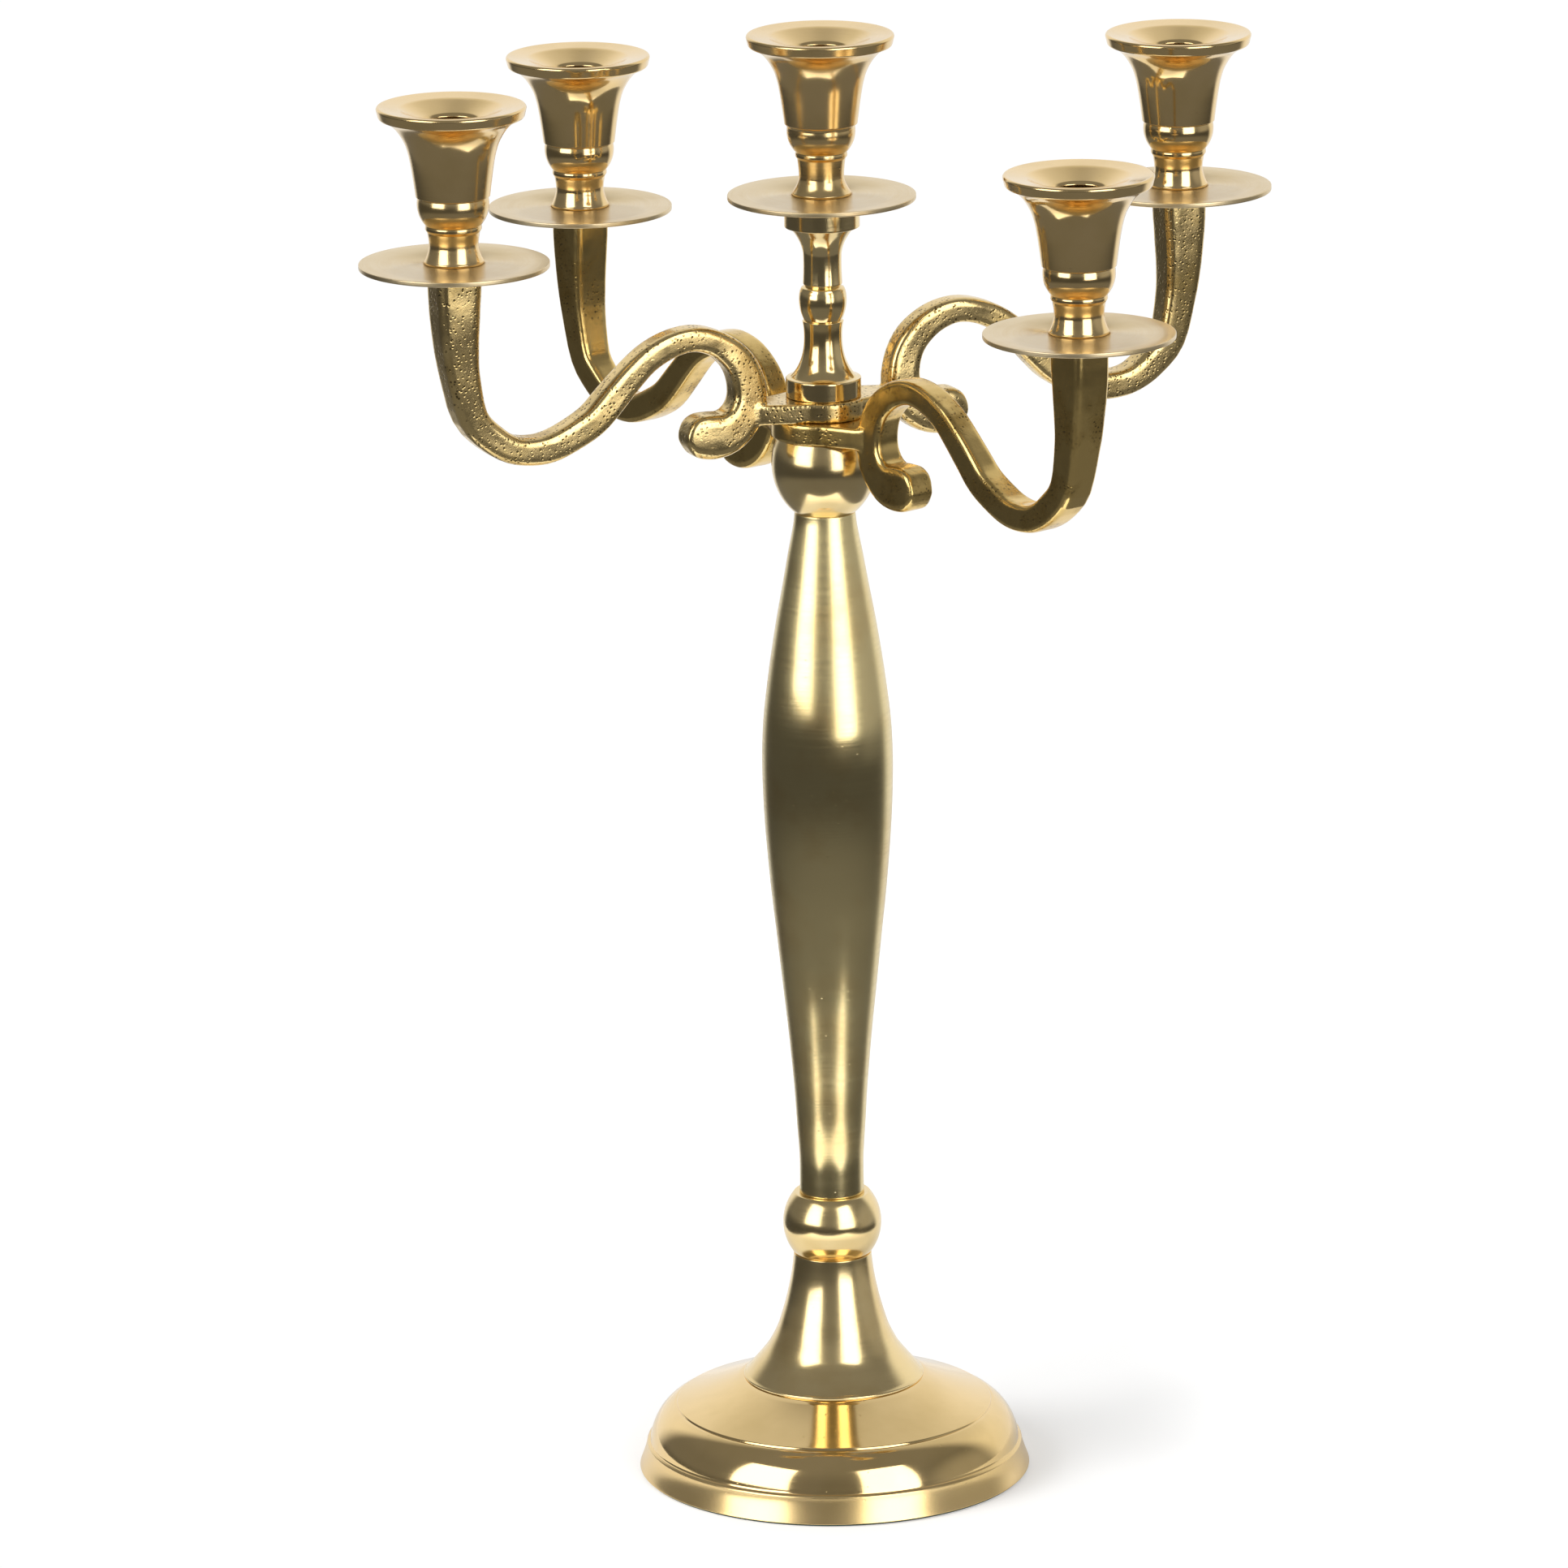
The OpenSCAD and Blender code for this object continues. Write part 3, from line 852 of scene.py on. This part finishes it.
@dataclass
class DoubleArm:
    """One casting: a hub with two S-shaped arms that start in scrolls and end in seats."""

    node: str
    body: str
    azimuth: float
    hub_base: float
    hub_thick: float
    hub_radius: float
    seat: float
    corner: float
    smoothing: int
    finish: CastBrass = field(default_factory=CastBrass)
    bar_length: float = 68.0
    bar_end_breadth: float = 11.5
    bar_middle: float = 5.0
    grid: float = 0.62
    wave_size: float = 19.0
    wave_height: float = 0.45
    hole_radius: float = 4.08
    stud_hole_depth: float = 9.5

    # Distance out, height below the seat, thickness and breadth at each station.
    stations: tuple[tuple[float, float, float, float], ...] = (
        (160, 0, 19, 17.5),
        (160.2, -11, 18.5, 17.5),
        (160.2, -22, 17, 17),
        (159.8, -33, 15.2, 16),
        (158.6, -44, 13.8, 15),
        (154.6, -61, 12.4, 13.6),
        (146.4, -70.2, 12, 13),
        (138, -75.6, 11.2, 12.8),
        (129.3, -77.4, 11.2, 12.6),
        (121, -76.8, 11.6, 12.4),
        (112.2, -73.6, 12, 12),
        (102, -68, 12, 11.6),
        (94.5, -60.8, 12, 11.2),
        (87.4, -53.6, 11.4, 11),
        (78.5, -45.8, 10.5, 11),
        (68.4, -40.8, 10.2, 11),
        (58.5, -39.2, 10.2, 11),
        (50, -41.2, 10.8, 11),
        (43.6, -45, 11.6, 11.2),
        (38, -50.8, 12.6, 11.6),
        (34.8, -58.4, 13.6, 12),
        (34.2, -66.8, 14.6, 12.4),
        (37.4, -74.2, 15.6, 13),
        (43.4, -78.8, 17, 13.4),
        (50, -79.8, 18.4, 13.4),
        (56, -79.3, 17.5, 13.2),
        (59.2, -79, 14.2, 12.6),
        (61.3, -78.9, 8.8, 11.6),
        (62.3, -78.8, 3, 10.6),
    )

    def line(self) -> list[tuple[float, ...]]:
        """Gives the stations with two more between each pair, on a smooth line."""
        rings = []
        ends = [self.stations[0], *self.stations, self.stations[-1]]
        for i in range(1, len(ends) - 2):
            for k in range(3):
                near = ends[i - 1 : i + 3]
                rings.append(tuple(spline_value(*(e[m] for e in near), k / 3) for m in range(4)))
        return [*rings, self.stations[-1]]

    def arm(self) -> Piece:
        """Models one arm in the XZ plane by extruding its section from the seat to the scroll.

        Returns:
            The arm, with its seat at its own height zero.
        """
        rings = self.line()
        start_clean()
        bpy.ops.mesh.primitive_plane_add(size=MM, location=(0, 0, 0))
        piece = bpy.context.object
        bpy.ops.object.mode_set(mode="EDIT")
        out, down, thick, broad = rings[0]
        bpy.ops.transform.translate(value=(out * MM, 0, down * MM))
        centre = (out * MM, 0, down * MM)
        bpy.ops.transform.resize(value=(thick, broad, 1), center_override=centre)
        bpy.ops.mesh.bevel(
            offset_type="OFFSET", offset=self.corner * MM, segments=4, affect="VERTICES"
        )
        turn = 0.0
        for before, here, after in zip(rings, rings[1:], [*rings[2:], rings[-1]]):
            bpy.ops.mesh.extrude_region_move(
                TRANSFORM_OT_translate={
                    "value": ((here[0] - before[0]) * MM, 0, (here[1] - before[1]) * MM)
                }
            )
            centre = (here[0] * MM, 0, here[1] * MM)
            new_turn = math.atan2(before[0] - after[0], before[1] - after[1])
            # With no window a turn runs against the right-hand rule, so its sign is changed.
            bpy.ops.transform.rotate(value=turn, orient_axis="Y", center_override=centre)
            bpy.ops.transform.resize(
                value=(here[2] / before[2], here[3] / before[3], 1), center_override=centre
            )
            bpy.ops.transform.rotate(value=-new_turn, orient_axis="Y", center_override=centre)
            turn = new_turn
        bpy.ops.mesh.select_all(action="SELECT")
        bpy.ops.mesh.normals_make_consistent(inside=False)
        bpy.ops.object.mode_set(mode="OBJECT")
        return piece

    def hub(self) -> Piece:
        """Models the hub: a disc with a bar that narrows to the back of each scroll.

        Returns:
            The hub at its height, with its bar along X.
        """
        start_clean()
        middle = self.hub_base + self.hub_thick / 2
        breadth = 2 * self.hub_radius - 4
        bpy.ops.mesh.primitive_cylinder_add(
            vertices=96, radius=self.hub_radius * MM, depth=self.hub_thick * MM, location=(0, 0, 0)
        )
        disc = bpy.context.object
        settle(disc, 0, (0, 0, middle))
        start_clean()
        bpy.ops.mesh.primitive_cube_add(size=MM, location=(0, 0, 0))
        bar = bpy.context.object
        bpy.ops.object.mode_set(mode="EDIT")
        bpy.ops.transform.resize(value=(self.bar_length, breadth, self.hub_thick))
        for side in (-1, 1):
            bpy.ops.mesh.select_all(action="SELECT")
            cut = (side * self.bar_middle * MM, 0, 0)
            bpy.ops.mesh.bisect(plane_co=cut, plane_no=(1, 0, 0))
        bpy.ops.mesh.select_all(action="DESELECT")
        bpy.ops.object.mode_set(mode="OBJECT")
        for corner in bar.data.vertices:
            corner.select = abs(corner.co.x) > 2 * self.bar_middle * MM
        bpy.ops.object.mode_set(mode="EDIT")
        narrow = (1, self.bar_end_breadth / breadth, 1)
        bpy.ops.transform.resize(value=narrow, center_override=(0, 0, 0))
        bpy.ops.object.mode_set(mode="OBJECT")
        settle(bar, 0, (0, 0, middle))
        disc.select_set(True)
        bpy.context.view_layer.objects.active = disc
        bpy.ops.object.join()
        return disc

    def build(self) -> None:
        """Joins arms and hub into one casting, smooths it and drills its holes."""
        casting = self.hub()
        for side in (0, 180):
            arm = self.arm()
            settle(arm, side, (0, 0, self.seat))
            casting.select_set(True)
            bpy.context.view_layer.objects.active = casting
            bpy.ops.object.join()
        apply_modifier(casting, "REMESH", mode="VOXEL", voxel_size=self.grid * MM)
        apply_modifier(casting, "SMOOTH", factor=0.5, iterations=self.smoothing)
        settle(casting, self.azimuth, (0, 0, 0))
        self.roughen(casting)
        self.drill(casting)
        casting.name = casting.data.name = "cast_" + self.node
        make_active(casting)
        bpy.ops.object.shade_smooth()
        material = self.finish.material(casting.name + "_brass")
        stand_for(casting, self.node, self.body, material)

    def roughen(self, casting: Piece) -> None:
        """Gives the casting the slight waves that grinding leaves."""
        waves = bpy.data.textures.new(self.node + "_waves", "CLOUDS")
        waves.noise_scale = self.wave_size * MM
        waves.noise_depth = 1
        apply_modifier(
            casting,
            "DISPLACE",
            texture=waves,
            texture_coords="LOCAL",
            strength=self.wave_height * MM,
            mid_level=0.55,
        )

    def drill(self, casting: Piece) -> None:
        """Drills the hole for the tie rod and one in each seat for a stud."""
        x, y = seat_of(self.azimuth)
        low = self.seat - self.stud_hole_depth
        holes = [(0.0, 0.0, self.hub_base - 4, 22.0), (x, y, low, 20.0), (-x, -y, low, 20.0)]
        for x, y, low, depth in holes:
            start_clean()
            bpy.ops.mesh.primitive_cylinder_add(
                vertices=64,
                radius=self.hole_radius * MM,
                depth=depth * MM,
                location=(x * MM, y * MM, (low + depth / 2) * MM),
            )
            drill_bit = bpy.context.object
            apply_modifier(
                casting, "BOOLEAN", operation="DIFFERENCE", object=drill_bit, solver="EXACT"
            )
            bpy.data.objects.remove(drill_bit)


@dataclass
class Light:
    """One light: its place, its seat, and how satin its cup is."""

    place: str
    x: float
    y: float
    seat: float
    roughness: float


@dataclass
class Holders:
    """The five drip pans and candle cups, with the studs that hold them."""

    lights: list[Light]
    pan_radius: float = 37.8
    pan_thick: float = 1.9
    bore: float = 11.25
    bore_floor: float = 29.8
    # Height, radius of the bulge and radius of the waist.
    arm_cup: tuple[float, float, float] = (63.0, 14.3, 9.85)
    middle_cup: tuple[float, float, float] = (65.1, 13.8, 9.1)
    pan_polish: TurnedBrass = field(
        default_factory=lambda: TurnedBrass(
            colour="#EFDAB0",
            stain="#E2C892",
            roughness=0.34,
            drawn_out=0.2,
            pit_mm=7.0,
            pit_depth=0.5,
        )
    )

    def pan_outline(self) -> Outline:
        """Gives a drip pan's outline: a flat disc with a crisp edge."""
        radius, thick = self.pan_radius, self.pan_thick
        line = Outline(4.4, thick).to(4.4, 0).to(radius, 0, 0.45).to(radius, thick, 0.35)
        return line.to(4.4, thick)

    def cup_outline(self, top: float, bulge: float, waist: float) -> Outline:
        """Gives a cup's outline, from its stud hole up its outside and down into its bore.

        Args:
            top: height of the rim above the pan.
            bulge: radius of the bulge under the step.
            waist: radius of the waist above the foot.

        Returns:
            The outline.
        """
        line = Outline(0, 13).to(4, 13).to(4, 0).to(11.9, 0, 0.25).to(11.9, 0.9, 0.3)
        line.bend((11.4, 1.6), (waist + 0.4, 4.0), (waist, 6.6)).bend(
            (waist - 0.1, 9.0), (waist + 0.2, top - 53), (waist + 0.6, top - 50.4), 0.15
        )
        line.to(waist + 1.35, top - 49.4, 0.2).to(waist + 1.35, top - 48.3, 0.25)
        line.to(waist + 1.2, top - 47.7)
        line.bend(
            (bulge - 1.0, top - 45.2), (bulge + 0.4, top - 41.6), (bulge - 0.1, top - 37.6), 0.4
        )
        line.to(14.0, top - 36.6, 0.1).to(14.7, top - 36.2, 0.25)
        line.through(
            [(15.1, top - 33), (15.75, top - 28.2), (16.45, top - 23.6), (17.35, top - 19)]
            + [(18.8, top - 14.5), (21.4, top - 10), (24.2, top - 7), (27.4, top - 5.0)]
            + [(28.5, top - 4.7)],
            0.15,
        )
        line.to(28.9, top - 4.2, 0.3).to(29.7, top - 0.9, 0.5).to(29.1, top - 0.1, 0.4)
        line.to(28.2, top - 0.15, 0.2).to(20.6, top - 1.2, 0.9).to(12.1, top - 5.6, 0.5)
        line.to(self.bore, top - 6.6, 0.3).to(self.bore, top - self.bore_floor, 0.6)
        return line.to(0, top - self.bore_floor)

    def build(self) -> None:
        """Turns one pan and two kinds of cup, and sets a copy on every seat."""
        pan = turned("pan_pattern", self.pan_outline())
        arm_cup = turned("arm_cup_pattern", self.cup_outline(*self.arm_cup))
        middle_cup = turned("middle_cup_pattern", self.cup_outline(*self.middle_cup))
        steel = ZincSteel().material("threaded_studs", True)
        for light in self.lights:
            axis = (light.x, light.y)
            set_pan = copy_of(pan, "turned_drip_pan_" + light.place)
            settle(set_pan, 0, (light.x, light.y, light.seat))
            stand_for(
                set_pan,
                "drip_pan_" + light.place,
                "pan_" + light.place,
                self.pan_polish.material("pan_brass_" + light.place, axis),
            )
            pattern = middle_cup if light.place == "middle" else arm_cup
            set_cup = copy_of(pattern, "turned_cup_" + light.place)
            settle(set_cup, 0, (light.x, light.y, light.seat + self.pan_thick))
            stand_for(
                set_cup,
                "cup_" + light.place,
                "holder_" + light.place,
                TurnedBrass(colour="#F6D699", roughness=light.roughness).material(
                    "cup_brass_" + light.place, axis
                ),
            )
            dress(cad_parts["stud_" + light.place], steel)
        for pattern in (pan, arm_cup, middle_cup):
            bpy.data.objects.remove(pattern)


# ---- Studio ----


@dataclass(frozen=True)
class SoftBox:
    """One soft box: direction from the stem (0 is towards the camera), size and radiance."""

    azimuth_deg: float
    width_m: float
    bottom_m: float
    top_m: float
    radiance: float


@dataclass
class Studio:
    """Pale table, plain surroundings, two soft boxes in front, and the camera."""

    lens_mm: float = 237.45
    camera_place_m: tuple[float, float, float] = (0.0, -4.0538, 1.383)
    camera_down_deg: float = 15.08
    camera_turn_deg: float = 0.251
    camera_roll_deg: float = -0.659
    table_sides_m: tuple[float, float] = (-0.256, 0.290)
    table_ends_m: tuple[float, float] = (-0.322, 1.3)
    table_turn_deg: float = -8.4
    # The table's glow as the metal sees it is painted light and shade: dim near the foot, bright
    # ahead, dimmer behind.
    table_painted_light_seen_in_metal: tuple[float, float, float] = (0.1, 1.4, 0.3)
    table_glow_in_view: tuple[float, float] = (0.3, 0.62)
    backdrop_azimuth_deg: float = 169.0
    backdrop_lean_deg: float = 15.0
    box_distance_m: float = 3.5
    shadow_lamp_watt: float = 16.0
    shadow_lamp_side_m: float = 0.8
    shadow_lamp_distance_m: float = 1.6
    shadow_lamp_turn_deg: float = -70.0
    shadow_lamp_tilt_deg: float = 55.0

    def table(self) -> None:
        """Lays a small white table top whose front edge is just before the foot.

        What lies past its edges is dark, and the metal shows both.
        """
        start_clean()
        bpy.ops.mesh.primitive_plane_add(size=1, location=(0, 0, 0))
        table = bpy.context.object
        table.name = table.data.name = "table_top"
        left, right = self.table_sides_m
        front, back = self.table_ends_m
        table.scale = (right - left, back - front, 1)
        table.location = ((left + right) / 2, (front + back) / 2, -0.0002)
        bpy.ops.object.transform_apply(location=True, rotation=True, scale=True)
        bpy.ops.object.mode_set(mode="EDIT")
        bpy.ops.mesh.bevel(offset_type="OFFSET", offset=0.02, segments=6, affect="VERTICES")
        bpy.ops.object.mode_set(mode="OBJECT")
        settle(table, self.table_turn_deg, (0, 0, 0))
        material, tree = new_material("white_table")
        seen = add_node(tree, "LightPath").outputs["Is Camera Ray"]
        place = add_node(tree, "TexCoord").outputs["Object"]
        split = add_node(tree, "SeparateXYZ", links={0: place})
        away = add_node(tree, "VectorMath", operation="LENGTH", links={0: place})
        # Less light falls on the far end, so it glows more in view and the top is evenly white.
        near, far = self.table_glow_in_view
        in_view = add_node(
            tree, "MapRange",
            values={"From Min": 0.05, "From Max": 0.9, "To Min": near, "To Max": far},
            links={"Value": split.outputs["Y"]}
        )
        # Painted light fades the shadow out before the table's right edge.
        faded = add_node(
            tree, "MapRange", interpolation_type="SMOOTHSTEP",
            values={"From Min": 0.12, "From Max": 0.25, "To Max": 0.8},
            links={"Value": split.outputs["X"], "To Min": in_view}
        )
        # Painted light for the metal to see: painted shade round the foot, where the candelabra
        # stands in its light, and a brighter painted glow ahead of the foot than behind it.
        near, far, back = self.table_painted_light_seen_in_metal
        ahead = add_node(
            tree, "MapRange",
            values={"From Min": -0.2, "From Max": 0.0, "To Min": far, "To Max": back},
            links={"Value": split.outputs["Y"]}
        )
        painted_reflection = add_node(
            tree, "MapRange", values={"From Min": 0.18, "From Max": 0.4, "To Min": near},
            links={"Value": away.outputs["Value"], "To Max": ahead}
        )
        glow = add_node(
            tree, "Mix", data_type="FLOAT",
            links={0: seen, 2: painted_reflection, 3: faded}
        )
        shader = add_node(
            tree, "BsdfPrincipled",
            values={
                "Base Color": linear("#E4E4E4"), "Roughness": 0.9, "Emission Color": (1, 1, 1, 1),
            },
            links={"Emission Strength": glow}
        )
        add_node(tree, "OutputMaterial", links={"Surface": shader.outputs["BSDF"]})
        dress(table, material)

    def soft_box(self, name: str, box: SoftBox) -> None:
        """Hangs one soft box that faces the stem.

        Args:
            name: the name of the light.
            box: its direction, size and strength.
        """
        tall = box.top_m - box.bottom_m
        data = bpy.data.lights.new(name, "AREA")
        data.shape = "RECTANGLE"
        data.size = box.width_m
        data.size_y = tall
        data.energy = box.radiance * math.pi * box.width_m * tall
        lamp = bpy.data.objects.new(name, data)
        angle = math.radians(box.azimuth_deg)
        lamp.location = (
            self.box_distance_m * math.sin(angle),
            -self.box_distance_m * math.cos(angle),
            (box.bottom_m + box.top_m) / 2,
        )
        lamp.rotation_euler = (math.radians(90), 0, angle)
        bpy.context.scene.collection.objects.link(lamp)

    def shadow_lamp(self) -> None:
        """Hangs a lamp on the left that only the table shows, for the foot's soft shadow."""
        data = bpy.data.lights.new("shadow_lamp", "AREA")
        data.shape = "SQUARE"
        data.size = self.shadow_lamp_side_m
        data.energy = self.shadow_lamp_watt
        lamp = bpy.data.objects.new("shadow_lamp", data)
        lamp.matrix_world = (
            Matrix.Rotation(math.radians(self.shadow_lamp_turn_deg), 4, "Z")
            @ Matrix.Rotation(math.radians(self.shadow_lamp_tilt_deg), 4, "X")
            @ Matrix.Translation((0, 0, self.shadow_lamp_distance_m))
        )
        lamp.visible_glossy = False
        bpy.context.scene.collection.objects.link(lamp)

    def surroundings(self) -> None:
        """Sets a white backdrop behind, a dim room in front and plain white for the view."""
        world = bpy.data.worlds.new("surroundings")
        world.use_nodes = True
        tree = world.node_tree
        tree.nodes.clear()
        direction = add_node(tree, "TexCoord").outputs["Generated"]
        split = add_node(tree, "SeparateXYZ", links={0: direction})
        angle = math.radians(self.backdrop_azimuth_deg)
        lean = math.radians(self.backdrop_lean_deg)
        level = math.cos(lean)
        facing = (math.sin(angle) * level, -math.cos(angle) * level, math.sin(lean))
        towards = add_node(
            tree, "VectorMath", operation="DOT_PRODUCT", values={1: facing}, links={0: direction}
        )
        behind = add_node(
            tree, "MapRange", interpolation_type="SMOOTHSTEP",
            values={"From Min": 0.47, "From Max": 0.7}, links={"Value": towards.outputs["Value"]}
        )
        backdrop = add_node(
            tree, "MapRange", interpolation_type="SMOOTHSTEP",
            values={"From Min": 0.35, "From Max": 0.95, "To Min": 0.92, "To Max": 0.6},
            links={"Value": split.outputs["Z"]}
        )
        # Each step raises or lowers the room's light along one axis, from what was there before.
        room = [0.17]
        for axis, start, end, light in (
            ("Z", -0.45, -0.3, 0.07),
            ("Z", -0.15, 0.1, 0.17),
            ("Z", 0.3, 0.9, 0.22),
            ("X", 0.8, 1.0, 0.36),
        ):
            values = {"From Min": start, "From Max": end, "To Max": light}
            links = {"Value": split.outputs[axis]}
            (values if len(room) == 1 else links)["To Min"] = room[-1]
            step = add_node(
                tree, "MapRange", interpolation_type="SMOOTHSTEP", values=values, links=links
            )
            room.append(step)
        beside = add_node(
            tree, "MapRange", interpolation_type="SMOOTHSTEP",
            values={"From Min": -0.25, "From Max": -0.1}, links={"Value": split.outputs["Z"]}
        )
        sides = add_node(
            tree, "Mix", data_type="FLOAT", links={0: beside, 2: room[-2], 3: room[-1]}
        )
        around = add_node(
            tree, "Mix", data_type="FLOAT",
            links={0: behind, 2: sides, 3: backdrop}
        )
        seen = add_node(tree, "LightPath").outputs["Is Camera Ray"]
        strength = add_node(
            tree, "Mix", data_type="FLOAT", values={3: 1.02},
            links={0: seen, 2: around}
        )
        background = add_node(
            tree, "Background", values={"Color": (1, 1, 1, 1)},
            links={"Strength": strength}
        )
        add_node(tree, "OutputWorld", links={"Surface": background})
        bpy.context.scene.world = world

    def camera(self) -> None:
        """Stands the camera in front, above and far off, and makes it the scene's camera."""
        data = bpy.data.cameras.new("camera")
        data.lens = self.lens_mm
        data.sensor_width = 36
        data.clip_end = 50
        camera = bpy.data.objects.new("camera", data)
        camera.matrix_world = (
            Matrix.Translation(self.camera_place_m)
            @ Matrix.Rotation(math.radians(self.camera_turn_deg), 4, "Z")
            @ Matrix.Rotation(math.radians(90 - self.camera_down_deg), 4, "X")
            @ Matrix.Rotation(math.radians(self.camera_roll_deg), 4, "Z")
        )
        bpy.context.scene.collection.objects.link(camera)
        bpy.context.scene.camera = camera

    def build(self) -> None:
        """Sets up the whole studio."""
        self.camera()
        self.table()
        self.soft_box("soft_box_left", SoftBox(-47.5, 2.4, 0.22, 3.8, 2.8))
        self.soft_box("soft_box_right", SoftBox(35, 2.3, -0.16, 3.8, 2.8))
        self.shadow_lamp()
        self.surroundings()
        bpy.context.scene.view_settings.view_transform = "Standard"


def main() -> None:
    """Builds the studio and every sub-assembly in order."""
    logging.basicConfig(level=logging.INFO, format="%(name)s: %(message)s")
    Studio().build()
    Stem().build()
    DoubleArm(
        node="lower_arms",
        body="lower_casting",
        azimuth=LOWER_ARMS_DEG,
        hub_base=UPPER_KNOB_TOP,
        hub_thick=8.5,
        hub_radius=21.5,
        seat=LOWER_SEAT,
        corner=3.2,
        smoothing=7,
        finish=CastBrass(colour="#EDCC82", patch="#AC8A45", pits_from=0.52),
    ).build()
    DoubleArm(
        node="upper_arms",
        body="upper_casting",
        azimuth=UPPER_ARMS_DEG,
        hub_base=444.5,
        hub_thick=8.0,
        hub_radius=17.5,
        seat=UPPER_SEAT,
        corner=4.0,
        smoothing=10,
    ).build()
    Spindle().build()
    lights = [Light("middle", 0.0, 0.0, MIDDLE_SEAT, 0.18)]
    for place, azimuth, seat, roughness in (
        ("front_left", UPPER_ARMS_DEG, UPPER_SEAT, 0.16),
        ("back_right", UPPER_ARMS_DEG - 180, UPPER_SEAT, 0.12),
        ("front_right", LOWER_ARMS_DEG, LOWER_SEAT, 0.12),
        ("back_left", LOWER_ARMS_DEG - 180, LOWER_SEAT, 0.12),
    ):
        lights.append(Light(place, *seat_of(azimuth), seat, roughness))
    Holders(lights).build()


if __name__ == "__main__":
    main()
